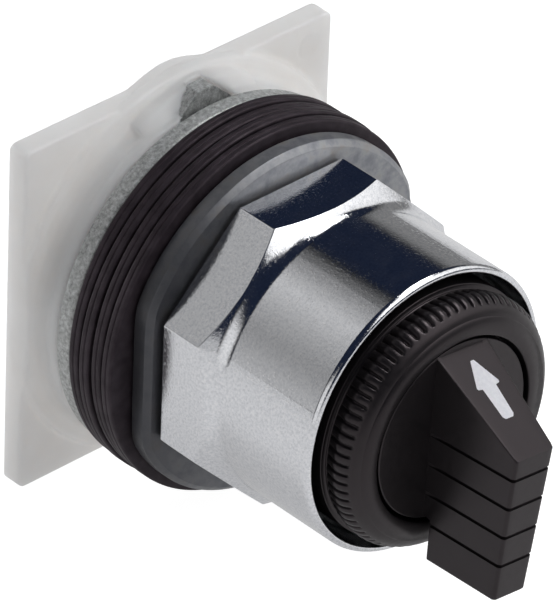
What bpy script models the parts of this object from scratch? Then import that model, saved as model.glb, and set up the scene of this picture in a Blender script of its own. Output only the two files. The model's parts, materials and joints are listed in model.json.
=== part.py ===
"""Rotary selector switch operator for a 30 mm panel hole, modelled piece by piece.

Every piece is drawn in the switch's own axes: X to the right, Y up and Z forward, out of the panel,
with the origin where the switch's axis crosses the rear face of the panel. The empties turn those
axes so that the finished switch stands upright, with its front facing -Y. Dimensions are in mm.
"""
import math

import bmesh
import bpy
from mathutils import Matrix, Vector

MM = 0.001
ROUND = 52          # segments of the large turned pieces
INNER_ROUND = 32    # segments of the middling ones
SMALL_ROUND = 16    # segments of screws, pins and small holes
GAP = 0.3           # clearance between neighbouring pieces

# Panel side: gaskets, washer and nut
BORE_R = 15.15
BARREL_R = 14.85
GASKET_R = 20.8
GASKET_COUNT = 4
GASKET_STACK = 6.4
GASKET_SHIFTS = [(-0.10, 0.06), (0.08, 0.10), (-0.06, -0.08), (0.10, -0.04)]
WASHER_R = 19.7
WASHER_FLAT = 18.1
WASHER_REAR, WASHER_FRONT = 0.3, 2.55
WASHER_BEVEL = 0.6
NUT_REAR, NUT_FRONT = 2.9, 23.5
NUT_APOTHEM = 16.79
NUT_BARREL_R = 15.93
NUT_RIM_RADIUS = 0.65
NUT_ROOT, NUT_ROOT_RADIUS = 11.04, 2.2      # where the cone runs out into the barrel
NUT_SIDES = 8
NUT_ROUND = 72

# Housing
FLANGE_R = 20.3
FLANGE_REAR, FLANGE_FRONT = -8.7, -6.7
REAR_BODY_R = 17.0
REAR_BODY_END = -11.5
CAVITY_R = 12.3
BULKHEAD_REAR, BULKHEAD_FRONT = 5.0, 8.4
NECK_R, NECK_BORE_R, NECK_FRONT = 12.55, 10.8, 22.4
SHOULDER = 12.6
THREAD_START, THREAD_PITCH, THREAD_TURNS, THREAD_DEPTH = 1.5, 2.0, 4, 0.45
LUG_REAR, LUG_FRONT = -11.5, -9.74
LUG_HALF, LUG_SIDE_TOP, LUG_TOP_HALF, LUG_TOP = 3.6, 19.1, 1.0, 21.4

# Back plate
PLATE_HALF_X, PLATE_HALF_Y = 20.75, 20.45
PLATE_REAR, PLATE_FRONT = -15.9, -13.3
HUB_FRONT = -9.0
PLATE_HOLE_R = 12.4
SCREW_CIRCLE_R = 14.8
INSERT_CIRCLE_R = 15.2
HUMP = [(6.4, 19.0), (6.0, 20.2), (4.2, 20.8), (2.6, 21.35), (1.0, 21.7)]
HUMP_FRONT = -11.9
NOTCH_REAR = -11.8

# Knob and bezel
BEZEL_R, BEZEL_WAIST_R, BEZEL_SKIRT_R = 13.95, 13.65, 14.05
BEZEL_FACE_R, BEZEL_HOLE_R = 12.35, 10.35
BEZEL_REAR, BEZEL_STEP, BEZEL_FRONT = 13.0, 23.45, 27.65
SHOULDER_RADIUS, SHOULDER_END = 2.35, 70      # the shoulder's arc stops short of the flat face
DISC_R, DISC_FRONT = 9.95, 27.4
KNOB_FLANGE_R, KNOB_FLANGE_REAR, KNOB_FLANGE_FRONT = 12.3, 23.35, 25.1
KNOB_HUB_R, KNOB_HUB_REAR = 7.0, 11.5
KNOB_LEAN = math.radians(5.3)     # how far clockwise the lever sits on its hub
LEVER_HALF_WIDTH, LEVER_TAPER, LEVER_SKEW = 3.03, 0.0445, 0.0238
LEVER_TOP, LEVER_PEAK, LEVER_BOTTOM = 9.35, 2.7, -14.28
LEVER_ROOT_Z, LEVER_BACK_Z, LEVER_FOOT_Z, LEVER_PEAK_Z = 27.5, 28.4, 37.7, 38.55
GROOVE_HEIGHTS = [0.4, -3.05, -6.5, -9.95]
GROOVE_WIDTH, GROOVE_DEPTH = 0.42, 0.3

# Shaft train
SHAFT_R, SHAFT_FLAT, SHAFT_REAR, SHAFT_FRONT = 3.0, 2.4, -5.3, 20.5
FIT_R, FIT_FLAT = 3.3, 2.7
CAM_FRONT, CAM_MEAN, CAM_HUB_REAR = -0.6, -3.6, -5.7
CAM_R, CAM_INNER_R = 10.6, 4.7
CAM_RISE = 1.5 / math.radians(45)      # mm of lift per radian
CAM_RAMP_END = math.radians(55)
STOP_TAB_R, STOP_TAB_HALF = 11.7, math.radians(7)
STOP_RIB_ANGLE, STOP_RIB_HALF = math.radians(60), math.radians(3.5)
WHEEL_REAR, WHEEL_FRONT, WHEEL_R, WHEEL_NOTCH = -0.3, 2.9, 8.6, 0.9
PLUNGER_X = 7.5
PLUNGER_REAR, PLUNGER_TIP = -17.2, -3.9
RETAINER_REAR, RETAINER_FRONT = -13.0, -11.8

MATERIALS = {
    "milky_plastic": ((0.78, 0.77, 0.75), 0.35, 0.0),
    "zinc": ((0.45, 0.45, 0.44), 0.5, 1.0),
    "black_rubber": ((0.02, 0.02, 0.021), 0.75, 0.0),
    "grey_washer": ((0.32, 0.33, 0.34), 0.45, 1.0),
    "chrome": ((0.8, 0.81, 0.83), 0.08, 1.0),
    "black_plastic": ((0.018, 0.018, 0.02), 0.35, 0.0),
    "white_plastic": ((0.9, 0.9, 0.9), 0.4, 0.0),
    "steel": ((0.5, 0.5, 0.5), 0.3, 1.0),
    "spring_steel": ((0.4, 0.4, 0.42), 0.3, 1.0),
    "brass": ((0.7, 0.52, 0.25), 0.3, 1.0),
    "natural_nylon": ((0.72, 0.7, 0.62), 0.45, 0.0),
}


# ---------------------------------------------------------------- scene and bookkeeping

for old in list(bpy.data.objects):
    bpy.data.objects.remove(old, do_unlink=True)

parts = bpy.data.collections.new("rotary_selector_switch")
cutters = bpy.data.collections.new("cutters")
for collection in (parts, cutters):
    bpy.context.scene.collection.children.link(collection)


def empty(name, location=(0, 0, 0), parent=None):
    frame = bpy.data.objects.new(name, None)
    parts.objects.link(frame)
    frame.empty_display_size = 0.01
    frame.location = Vector(location) * MM
    frame.parent = parent
    return frame


fixed = empty("fixed_frame")
fixed.rotation_euler.x = math.radians(90)
turning = empty("knob_axis", parent=fixed)
plunger_axes = {side: empty("plunger_axis_" + side, (x, 0, 0), fixed)
                for side, x in (("left", -PLUNGER_X), ("right", PLUNGER_X))}
materials = {}
for name, (colour, roughness, metallic) in MATERIALS.items():
    material = bpy.data.materials.new(name)
    material.use_nodes = True
    shader = material.node_tree.nodes["Principled BSDF"]
    shader.inputs["Base Color"].default_value = (*colour, 1)
    shader.inputs["Roughness"].default_value = roughness
    shader.inputs["Metallic"].default_value = metallic
    material.diffuse_color = (*colour, 1)
    materials[name] = material


def mesh_object(name, mesh, collection=parts):
    obj = bpy.data.objects.new(name, mesh)
    collection.objects.link(obj)
    return obj


def baked(obj):
    """Replaces an object by the mesh that its modifiers give."""
    graph = bpy.context.evaluated_depsgraph_get()
    mesh = bpy.data.meshes.new_from_object(obj.evaluated_get(graph))
    name, location, parent = obj.name, obj.matrix_world.copy(), obj.parent
    bpy.data.objects.remove(obj, do_unlink=True)
    result = mesh_object(name, mesh)
    result.parent = parent
    if parent is None:
        result.matrix_world = location
    return result


def edit(obj, change):
    """Runs a change on the object's mesh through bmesh."""
    bm = bmesh.new()
    bm.from_mesh(obj.data)
    change(bm)
    bm.to_mesh(obj.data)
    bm.free()
    return obj


def weld(obj):
    return edit(obj, lambda bm: bmesh.ops.remove_doubles(bm, verts=bm.verts, dist=1e-6))


def cut(obj, cutter, operation="DIFFERENCE"):
    """Cuts, joins or trims an object by another, and puts the other away among the cutters."""
    for home in list(cutter.users_collection):
        home.objects.unlink(cutter)
    cutters.objects.link(cutter)
    cutter.hide_render = True
    cutter.display_type = "WIRE"
    cutter.parent = obj.parent
    boolean = obj.modifiers.new(cutter.name, "BOOLEAN")
    boolean.operation = operation
    boolean.object = cutter
    return obj


def finish(obj, material, parent=fixed, sharp=35):
    """Bakes a piece, gives it its material and parent, and shades it smooth between sharp edges."""
    bpy.context.view_layer.update()
    obj = baked(obj) if obj.modifiers else obj
    obj.parent = parent
    obj.data.materials.clear()
    obj.data.materials.append(materials[material])
    obj.data.shade_smooth()
    obj.data.set_sharp_from_angle(angle=math.radians(sharp))
    return obj


# ---------------------------------------------------------------- shape tools

def arc(centre_r, centre_z, radius_r, radius_z, start, end, steps):
    """Points of an elliptical arc in a turned outline, angles in degrees from +r towards +z."""
    angles = [math.radians(start + (end - start) * i / steps) for i in range(steps + 1)]
    return [(centre_r + radius_r * math.cos(a), centre_z + radius_z * math.sin(a)) for a in angles]


def turned(name, outline, segments=ROUND):
    """Turns an outline of (radius, z) points about Z. It runs down the outer side, and it is closed
    unless both its ends lie on the axis."""
    mesh = bpy.data.meshes.new(name)
    count = len(outline)
    open_ended = outline[0][0] == 0 and outline[-1][0] == 0
    edges = [(i, (i + 1) % count) for i in range(count - 1 if open_ended else count)]
    mesh.from_pydata([(r * MM, 0, z * MM) for r, z in outline], edges, [])
    obj = mesh_object(name, mesh)
    screw = obj.modifiers.new("turn", "SCREW")
    screw.steps = screw.render_steps = segments
    screw.use_merge_vertices = True
    screw.merge_threshold = 1e-6
    return weld(baked(obj))


def ring(name, inner, outer, rear, front, segments=ROUND):
    return turned(name, [(inner, front), (outer, front), (outer, rear), (inner, rear)], segments)


def prism(name, outlines, rear, front):
    """Extrudes flat (x, y) outlines along Z; an outline inside another is a hole."""
    curve = bpy.data.curves.new(name, "CURVE")
    curve.dimensions = "2D"
    curve.fill_mode = "BOTH"
    curve.extrude = (front - rear) / 2 * MM
    for outline in outlines:
        spline = curve.splines.new("POLY")
        spline.points.add(len(outline) - 1)
        for point, (x, y) in zip(spline.points, outline):
            point.co = (x * MM, y * MM, 0, 1)
        spline.use_cyclic_u = True
    drawn = bpy.data.objects.new(name, curve)
    parts.objects.link(drawn)
    drawn.location.z = (front + rear) / 2 * MM
    bpy.context.view_layer.update()
    mesh = bpy.data.meshes.new_from_object(drawn.evaluated_get(bpy.context.evaluated_depsgraph_get()))
    mesh.transform(drawn.matrix_world)
    bpy.data.objects.remove(drawn, do_unlink=True)
    return weld(mesh_object(name, mesh))


def polygon(radius, sides, turn=0.0, centre=(0, 0)):
    angles = [turn + 2 * math.pi * i / sides for i in range(sides)]
    return [(centre[0] + radius * math.cos(a), centre[1] + radius * math.sin(a)) for a in angles]


def box(x0, x1, y0, y1):
    return [(x0, y0), (x1, y0), (x1, y1), (x0, y1)]


def rounded_box(half_x, half_y, radius, steps=4):
    """A rectangle's outline with rounded corners."""
    points = []
    for quarter, (sx, sy) in enumerate(((1, 1), (-1, 1), (-1, -1), (1, -1))):
        for i in range(steps + 1):
            a = math.radians(90 * quarter + 90 * i / steps)
            points.append((sx * (half_x - radius) + radius * math.cos(a),
                           sy * (half_y - radius) + radius * math.sin(a)))
    return points


def hole(obj, x, y, radius, rear, front, segments=SMALL_ROUND):
    cutter = prism(obj.name + "_hole", [polygon(radius, segments, centre=(x, y))], rear, front)
    return cut(obj, cutter)


def lofted(name, loops):
    """Skins equal loops of points in order, and closes the first and last with a face."""
    bm = bmesh.new()
    rows = [[bm.verts.new(Vector(point) * MM) for point in loop] for loop in loops]
    for lower, upper in zip(rows, rows[1:]):
        for i, vert in enumerate(lower):
            after = (i + 1) % len(lower)
            bm.faces.new((vert, lower[after], upper[after], upper[i]))
    bm.faces.new(reversed(rows[0]))
    bm.faces.new(rows[-1])
    return loft_mesh(name, bm)


def section_ring(name, section_at, segments):
    """Skins a closed ring of sections, each the (radius, z) outline at its own angle about Z."""
    bm = bmesh.new()
    rows = []
    for i in range(segments):
        a = 2 * math.pi * i / segments
        rows.append([bm.verts.new(Vector((r * math.cos(a), r * math.sin(a), z)) * MM)
                     for r, z in section_at(a)])
    for i, row in enumerate(rows):
        following = rows[(i + 1) % segments]
        for j, vert in enumerate(row):
            after = (j + 1) % len(row)
            bm.faces.new((vert, following[j], following[after], row[after]))
    return loft_mesh(name, bm)


def loft_mesh(name, bm):
    bmesh.ops.triangulate(bm, faces=bm.faces)
    bmesh.ops.recalc_face_normals(bm, faces=bm.faces)
    mesh = bpy.data.meshes.new(name)
    bm.to_mesh(mesh)
    bm.free()
    return mesh_object(name, mesh)


def wire(name, points, radius):
    """A round wire along points, with closed ends."""
    curve = bpy.data.curves.new(name, "CURVE")
    curve.dimensions = "3D"
    curve.bevel_depth = radius * MM
    curve.bevel_resolution = 2
    curve.use_fill_caps = True
    spline = curve.splines.new("POLY")
    spline.points.add(len(points) - 1)
    for point, place in zip(spline.points, points):
        point.co = (*(Vector(place) * MM), 1)
    drawn = bpy.data.objects.new(name, curve)
    parts.objects.link(drawn)
    bpy.context.view_layer.update()
    mesh = bpy.data.meshes.new_from_object(drawn.evaluated_get(bpy.context.evaluated_depsgraph_get()))
    bpy.data.objects.remove(drawn, do_unlink=True)
    return weld(mesh_object(name, mesh))


def flatted(radius, flat, angle):
    """Radius, at an angle, of a round with one flat on its top side."""
    height = math.sin(angle)
    return min(radius, flat / height) if height > 0.1 else radius


# ---------------------------------------------------------------- panel pieces

def make_gaskets():
    thickness = (GASKET_STACK - (GASKET_COUNT - 1) * GAP) / GASKET_COUNT
    for i, shift in enumerate(GASKET_SHIFTS):
        front = -i * (thickness + GAP)
        gasket = ring("gasket_%d" % (i + 1), BORE_R + 0.1, GASKET_R, front - thickness, front)
        gasket = finish(gasket, "black_rubber")
        gasket.location = Vector((*shift, 0)) * MM


def make_trim_washer():
    """A round washer with a flat at each side and a bevelled front edge."""
    half = math.acos(WASHER_FLAT / WASHER_R)
    steps = 22
    rim = [half + (math.pi - 2 * half) * i / steps for i in range(steps + 1)]
    top = [(WASHER_R * math.cos(a), WASHER_R * math.sin(a)) for a in rim]
    outline = top + [(-x, -y) for x, y in top]
    washer = prism("trim_washer", [outline, polygon(BORE_R + 0.1, ROUND)], WASHER_REAR, WASHER_FRONT)

    def bevel_front_edge(bm):
        rim_edges = [e for e in bm.edges
                     if all(v.co.z > (WASHER_FRONT - 0.01) * MM and v.co.xy.length > 17 * MM
                            for v in e.verts)
                     and len(e.link_faces) == 2 and e.calc_face_angle() > 1]
        bmesh.ops.bevel(bm, geom=rim_edges, offset=WASHER_BEVEL * MM, segments=1, affect="EDGES")

    finish(edit(washer, bevel_front_edge), "grey_washer")


def make_ring_nut():
    """An octagonal nut whose corners are turned to a cone, drawn out into a round barrel."""
    corner = NUT_APOTHEM / math.cos(math.pi / NUT_SIDES)
    outline = [(BORE_R, NUT_FRONT - 0.15)]
    outline += arc(NUT_BARREL_R - NUT_RIM_RADIUS, NUT_FRONT - NUT_RIM_RADIUS,
                   NUT_RIM_RADIUS, NUT_RIM_RADIUS, 90, 0, 5)
    outline += arc(NUT_BARREL_R + NUT_ROOT_RADIUS, NUT_ROOT, NUT_ROOT_RADIUS, NUT_ROOT_RADIUS, 180, 231, 4)
    outline += [(corner + 0.4, 7.9), (corner + 0.4, NUT_REAR + 0.4), (corner - 0.4, NUT_REAR),
                (BORE_R, NUT_REAR)]
    nut = turned("ring_nut", outline, NUT_ROUND)
    octagon = polygon(corner, NUT_SIDES, math.pi / NUT_SIDES)
    surround = prism("octagon", [box(-26, 26, -26, 26), octagon], NUT_REAR - 1, NUT_FRONT - 8)
    finish(cut(nut, surround), "chrome")


# ---------------------------------------------------------------- fixed pieces behind the panel

def make_housing():
    thread = []
    for turn in range(THREAD_TURNS, 0, -1):
        base = THREAD_START + THREAD_PITCH * turn
        thread += [(BARREL_R, base), (BARREL_R - THREAD_DEPTH, base - THREAD_PITCH / 2)]
    outline = [(NECK_BORE_R, NECK_FRONT), (NECK_R, NECK_FRONT), (NECK_R, SHOULDER), (BARREL_R, SHOULDER)]
    outline += thread
    outline += [(BARREL_R, THREAD_START), (BARREL_R, FLANGE_FRONT), (FLANGE_R, FLANGE_FRONT),
                (FLANGE_R, FLANGE_REAR), (REAR_BODY_R, FLANGE_REAR), (REAR_BODY_R, REAR_BODY_END),
                (CAVITY_R, REAR_BODY_END), (CAVITY_R, BULKHEAD_REAR), (4.5, BULKHEAD_REAR),
                (4.5, BULKHEAD_FRONT), (NECK_BORE_R, BULKHEAD_FRONT)]
    housing = turned("operator_housing", outline)
    cut(housing, prism("lug", [lug_outline(0)], LUG_REAR, LUG_FRONT), "UNION")
    for side in (-1, 1):
        middle = math.pi / 2 + side * STOP_RIB_ANGLE
        spread = [middle - STOP_RIB_HALF, middle + STOP_RIB_HALF]
        rib = [(r * math.cos(a), r * math.sin(a)) for r, angles in ((11.0, spread), (12.9, spread[::-1]))
               for a in angles]
        cut(housing, prism("stop_rib", [rib], -5.0, -1.0), "UNION")
    for x, y in screw_places():
        hole(housing, x, y, 1.5, REAR_BODY_END - 1, FLANGE_REAR + 0.8)
    finish(housing, "zinc")


def lug_outline(margin):
    """The locating lug's outline, or with a margin that of the notch it sits in."""
    half = [(LUG_TOP_HALF + margin / 2, LUG_TOP + margin), (LUG_HALF + margin, LUG_SIDE_TOP + margin / 2),
            (LUG_HALF + margin, REAR_BODY_R - 0.8)]
    return [(-x, y) for x, y in half] + half[::-1]


def screw_places():
    return polygon(SCREW_CIRCLE_R, 4, math.pi / 4)


def make_back_plate():
    """A square plate with a flared round hub, and a low hump notched for the housing's lug."""
    hub_wall = [(17.5, HUB_FRONT), (19.5, HUB_FRONT), (20.0, HUB_FRONT - 0.25), (20.05, HUB_FRONT - 1.2),
                (19.85, HUB_FRONT - 1.6), (19.95, HUB_FRONT - 2.5), (20.35, HUB_FRONT - 3.2),
                (21.1, HUB_FRONT - 3.6), (21.9, HUB_FRONT - 3.7), (22.0, HUB_FRONT - 3.9),
                (22.0, PLATE_FRONT - 0.9), (17.5, PLATE_FRONT - 0.9)]
    plate = prism("back_plate", [rounded_box(PLATE_HALF_X, PLATE_HALF_Y, 0.9)], PLATE_REAR, PLATE_FRONT)
    cut(plate, turned("hub", hub_wall), "UNION")
    hump = HUMP + [(-x, y) for x, y in reversed(HUMP)]
    cut(plate, prism("hump", [hump], PLATE_REAR, HUMP_FRONT), "UNION")
    for side in (-1, 1):
        trim = box(side * (PLATE_HALF_X + 4), side * PLATE_HALF_X, -30, 30)
        cut(plate, prism("side_trim", [trim if side < 0 else trim[::-1]], PLATE_REAR - 1, HUB_FRONT + 1))
    cut(plate, prism("lug_notch", [lug_outline(GAP)], NOTCH_REAR, HUB_FRONT + 1))
    hole(plate, 0, 0, PLATE_HOLE_R, PLATE_REAR - 1, PLATE_FRONT + 1, ROUND)
    for x, y in screw_places():
        hole(plate, x, y, 1.5, PLATE_REAR - 1, PLATE_FRONT + 1)
        hole(plate, x, y, 2.6, PLATE_REAR - 1, PLATE_REAR + 1.4)
    for y in (-INSERT_CIRCLE_R, INSERT_CIRCLE_R):
        hole(plate, 0, y, 2.2, PLATE_REAR - 1, PLATE_FRONT + 1)
    finish(plate, "milky_plastic")


def make_plate_fasteners():
    for i, (x, y) in enumerate(screw_places()):
        rear = PLATE_REAR + 0.1
        outline = [(0, FLANGE_REAR + 0.5), (0.7, FLANGE_REAR + 0.5), (1.2, FLANGE_REAR), (1.2, rear + 1.0),
                   (2.3, rear + 1.0), (2.3, rear + 0.3), (1.9, rear), (0, rear)]
        screw = turned("plate_screw_%d" % (i + 1), outline, SMALL_ROUND)
        slot = prism("slot", [box(-3, 3, -0.3, 0.3)], rear - 1, rear + 0.45)
        screw = finish(cut(screw, slot), "steel")
        screw.location = Vector((x, y, 0)) * MM
        screw.rotation_euler.z = math.radians(25 + 40 * i)
    for name, y in (("block_insert_upper", INSERT_CIRCLE_R), ("block_insert_lower", -INSERT_CIRCLE_R)):
        insert = ring(name, 1.25, 1.9, PLATE_REAR + 0.05, PLATE_FRONT - 0.2, SMALL_ROUND)
        finish(insert, "brass").location = Vector((0, y, 0)) * MM


def make_retainer_plate():
    plate = ring("retainer_plate", 3.2, 16.6, RETAINER_REAR, RETAINER_FRONT, INNER_ROUND)
    for x in (-PLUNGER_X, PLUNGER_X):
        hole(plate, x, 0, 1.8, RETAINER_REAR - 1, RETAINER_FRONT + 1)
    for x, y in screw_places():
        hole(plate, x, y, 1.5, RETAINER_REAR - 1, RETAINER_FRONT + 1)
    finish(plate, "steel")


def make_detent_springs():
    """Two bowed leaf springs whose noses sit in the detent wheel's notches."""
    half_length, width, thickness, steps = 7.3, 2.6, 0.35, 18
    for name, turn in (("detent_spring_upper", 0), ("detent_spring_lower", math.pi)):
        bm = bmesh.new()
        rows = []
        for i in range(steps + 1):
            x = half_length * (2 * i / steps - 1)
            nose = math.exp(-(x / 1.7) ** 2)
            droop = 1.3 * (abs(x) / half_length) ** 4
            height = 10.75 - 2.55 * nose - droop
            rows.append([bm.verts.new(Vector((x, height, z)) * MM) for z in (0.0, width)])
        for first, second in zip(rows, rows[1:]):
            bm.faces.new((first[0], first[1], second[1], second[0]))
        mesh = bpy.data.meshes.new(name)
        bm.to_mesh(mesh)
        bm.free()
        leaf = mesh_object(name, mesh)
        solidify = leaf.modifiers.new("thickness", "SOLIDIFY")
        solidify.thickness = thickness * MM
        solidify.offset = 0
        finish(leaf, "spring_steel").rotation_euler.z = turn


def make_bush_and_seals():
    bush = [(3.2, 8.4), (4.2, 8.4), (4.2, 4.75), (6.2, 4.75), (6.2, 4.1), (3.2, 4.1)]
    finish(turned("shaft_bush", bush, INNER_ROUND), "brass")
    finish(ring("thrust_washer", 3.3, 5.5, 8.7, 9.2, INNER_ROUND), "steel")
    finish(ring("knob_gasket", 10.9, 12.2, 22.7, 23.05, INNER_ROUND), "black_rubber")
    o_ring = arc(8.9, 15.0, 1.4, 1.4, 90, -225, 7)
    finish(turned("knob_o_ring", o_ring, INNER_ROUND), "black_rubber")


def make_bezel_ring():
    """The ring that holds the knob in: a plain skirt, a waist, a rounded shoulder and a flat face."""
    shoulder = arc(BEZEL_R - SHOULDER_RADIUS, BEZEL_FRONT - SHOULDER_RADIUS, SHOULDER_RADIUS,
                   SHOULDER_RADIUS, SHOULDER_END, 0, 7)
    outline = [(BEZEL_HOLE_R + 0.12, BEZEL_FRONT), (BEZEL_FACE_R, BEZEL_FRONT)] + shoulder
    outline += [(BEZEL_WAIST_R, BEZEL_STEP + 0.45), (BEZEL_WAIST_R, BEZEL_STEP + 0.15),
                (BEZEL_SKIRT_R, BEZEL_STEP), (BEZEL_SKIRT_R, BEZEL_REAR),
                (NECK_R + GAP, BEZEL_REAR), (NECK_R + GAP, KNOB_FLANGE_FRONT + GAP),
                (BEZEL_HOLE_R, KNOB_FLANGE_FRONT + GAP), (BEZEL_HOLE_R, BEZEL_FRONT - 0.12)]
    finish(turned("bezel_ring", outline), "black_plastic")


# ---------------------------------------------------------------- turning pieces

def lever_sides(y, z):
    """The lever's left and right sides. It narrows towards its foot and its front, and it leans a
    little to the right as it comes forward."""
    forward = z - LEVER_ROOT_Z
    half_width = LEVER_HALF_WIDTH + (0.0495 - 0.0021 * forward) * y - LEVER_TAPER * forward
    return LEVER_SKEW * forward - half_width, LEVER_SKEW * forward + half_width


def lever_front(y):
    """How far forward the lever's front reaches at a height: the arrow's slope, then the face."""
    if y > LEVER_PEAK:
        slope = (y - LEVER_PEAK) / (LEVER_TOP - LEVER_PEAK)
        return LEVER_PEAK_Z + slope * (DISC_FRONT - 0.1 - LEVER_PEAK_Z)
    down = (LEVER_PEAK - y) / (LEVER_PEAK - LEVER_BOTTOM)
    return LEVER_PEAK_Z + down * (LEVER_FOOT_Z - LEVER_PEAK_Z)


def lever_section(y, inset=0.0):
    front = lever_front(y) - inset
    rear = LEVER_BACK_Z if y < -DISC_R + 0.6 else DISC_FRONT - 1.0
    (front_left, front_right), (rear_left, rear_right) = lever_sides(y, front), lever_sides(y, rear)
    return [(rear_right - inset, y, rear), (front_right - inset, y, front),
            (front_left + inset, y, front), (rear_left + inset, y, rear)]


def make_knob():
    """Dial disc, retaining flange and splined hub in one moulding, with a grooved lever."""
    bore = [(FIT_R, SHAFT_FRONT + 0.5), (FIT_R, KNOB_HUB_REAR)]
    outline = [(0, DISC_FRONT), (DISC_R - 0.15, DISC_FRONT), (DISC_R, DISC_FRONT - 0.15),
               (DISC_R, KNOB_FLANGE_FRONT), (KNOB_FLANGE_R, KNOB_FLANGE_FRONT),
               (KNOB_FLANGE_R, KNOB_FLANGE_REAR), (KNOB_HUB_R, KNOB_FLANGE_REAR),
               (KNOB_HUB_R, KNOB_HUB_REAR), bore[1], bore[0], (0, SHAFT_FRONT + 0.5)]
    knob = turned("knob", outline)
    sections = [lever_section(LEVER_BOTTOM)]
    for y in reversed(GROOVE_HEIGHTS):
        sections += [lever_section(y - GROOVE_WIDTH / 2), lever_section(y, GROOVE_DEPTH),
                     lever_section(y + GROOVE_WIDTH / 2)]
        if y == GROOVE_HEIGHTS[-1]:
            step = -DISC_R + 0.6
            sections += [lever_section(step - 0.001), lever_section(step)]
    sections += [lever_section(LEVER_PEAK), lever_section(LEVER_TOP)]
    sections.sort(key=lambda loop: loop[0][1])
    lever = lofted("lever", sections)
    lever.data.transform(Matrix.Rotation(-KNOB_LEAN, 4, "Z"))
    cut(knob, lever, "UNION")
    key = prism("hub_key", [box(-2.6, 2.6, FIT_FLAT, FIT_R + 1)], KNOB_HUB_REAR, SHAFT_FRONT + 1)
    cut(knob, key, "UNION")
    cut(knob, arrow("arrow_pocket", 0.12, -0.55, 1.0))
    finish(knob, "black_plastic", turning)


def arrow(name, margin, depth, height):
    """The arrow's outline, drawn on the lever's slope from its upper end down, as a prism."""
    tip, barb, notch, tail = 1.6, 4.5, 4.8, 8.5
    head, stem_top, stem_end = 1.5, 0.9, 0.72
    aside = 0.16
    half = [(0.25, -tip), (head, -barb), (head - 0.05, -barb - 0.2), (stem_top, -notch),
            (stem_end, -tail + 0.35), (stem_end - 0.35, -tail)]
    outline = [(x + margin, y) for x, y in half]
    outline[0] = (outline[0][0], outline[0][1] + margin)
    outline[-1] = (outline[-1][0], outline[-1][1] - margin)
    outline = [(aside - x, y) for x, y in outline] + [(aside + x, y) for x, y in outline[::-1]]
    shape = prism(name, [outline], depth, height)
    rise = LEVER_PEAK_Z - (DISC_FRONT - 0.1)
    lean = math.atan2(rise, LEVER_TOP - LEVER_PEAK)
    place = (Matrix.Rotation(-KNOB_LEAN, 4, "Z")
             @ Matrix.Translation(Vector((0, LEVER_TOP, DISC_FRONT - 0.1)) * MM)
             @ Matrix.Rotation(-lean, 4, "X"))
    shape.data.transform(place)
    return shape


def make_shaft():
    outline = [(0, SHAFT_FRONT), (SHAFT_R - 0.3, SHAFT_FRONT), (SHAFT_R, SHAFT_FRONT - 0.3), (SHAFT_R, 10.5),
               (4.6, 10.5), (4.6, 9.5), (SHAFT_R, 9.5), (SHAFT_R, 3.95), (2.3, 3.95), (2.3, 3.15),
               (SHAFT_R, 3.15), (SHAFT_R, SHAFT_REAR), (1.7, SHAFT_REAR), (1.7, 2.0), (0, 2.0)]
    shaft = turned("shaft", outline, INNER_ROUND)
    for rear, front in ((11.2, SHAFT_FRONT + 1), (SHAFT_REAR - 1, 3.1)):
        cut(shaft, prism("shaft_flat", [box(-4, 4, SHAFT_FLAT, 6)], rear, front))
    finish(shaft, "steel", turning)
    clip = [polygon(4.4, 32)[i] for i in range(-14, 15)] + [polygon(2.55, 32)[i] for i in range(14, -15, -1)]
    finish(prism("shaft_circlip", [clip], 3.25, 3.85), "spring_steel", turning)


def make_cam():
    """A face cam on its rear side: it pushes one plunger back as it lets the other come forward."""
    def lift(angle):
        across = math.asin(math.sin(angle))
        return max(-CAM_RAMP_END, min(CAM_RAMP_END, across))

    def section(angle):
        rear = CAM_MEAN - CAM_RISE * lift(angle)
        from_top = abs((angle - math.pi / 2 + math.pi) % (2 * math.pi) - math.pi)
        outer = STOP_TAB_R if from_top < STOP_TAB_HALF else CAM_R
        inner = flatted(FIT_R, FIT_FLAT, angle)
        return [(outer, CAM_FRONT), (outer, rear), (CAM_INNER_R, rear), (CAM_INNER_R, CAM_HUB_REAR),
                (inner, CAM_HUB_REAR), (inner, CAM_FRONT)]

    finish(section_ring("face_cam", section, 60), "natural_nylon", turning)
    rear = CAM_HUB_REAR - GAP
    outline = [(0, 1.0), (1.0, 1.0), (1.4, 0.6), (1.4, rear), (2.9, rear), (2.9, rear - 1.2),
               (2.4, rear - 1.6), (0, rear - 1.6)]
    screw = turned("cam_screw", outline, SMALL_ROUND)
    for turn in (0, math.pi / 2):
        bar = prism("cross_recess", [box(-1.6, 1.6, -0.3, 0.3)], rear - 3, rear - 0.8)
        bar.data.transform(Matrix.Rotation(turn, 4, "Z"))
        cut(screw, bar)
    finish(screw, "steel", turning)


def make_detent_wheel():
    def section(angle):
        outer = WHEEL_R - WHEEL_NOTCH * (1 + math.cos(8 * angle)) / 2
        inner = flatted(FIT_R, FIT_FLAT, angle)
        return [(outer, WHEEL_FRONT), (outer, WHEEL_REAR), (inner, WHEEL_REAR), (inner, WHEEL_FRONT)]

    finish(section_ring("detent_wheel", section, 64), "natural_nylon", turning)


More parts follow.
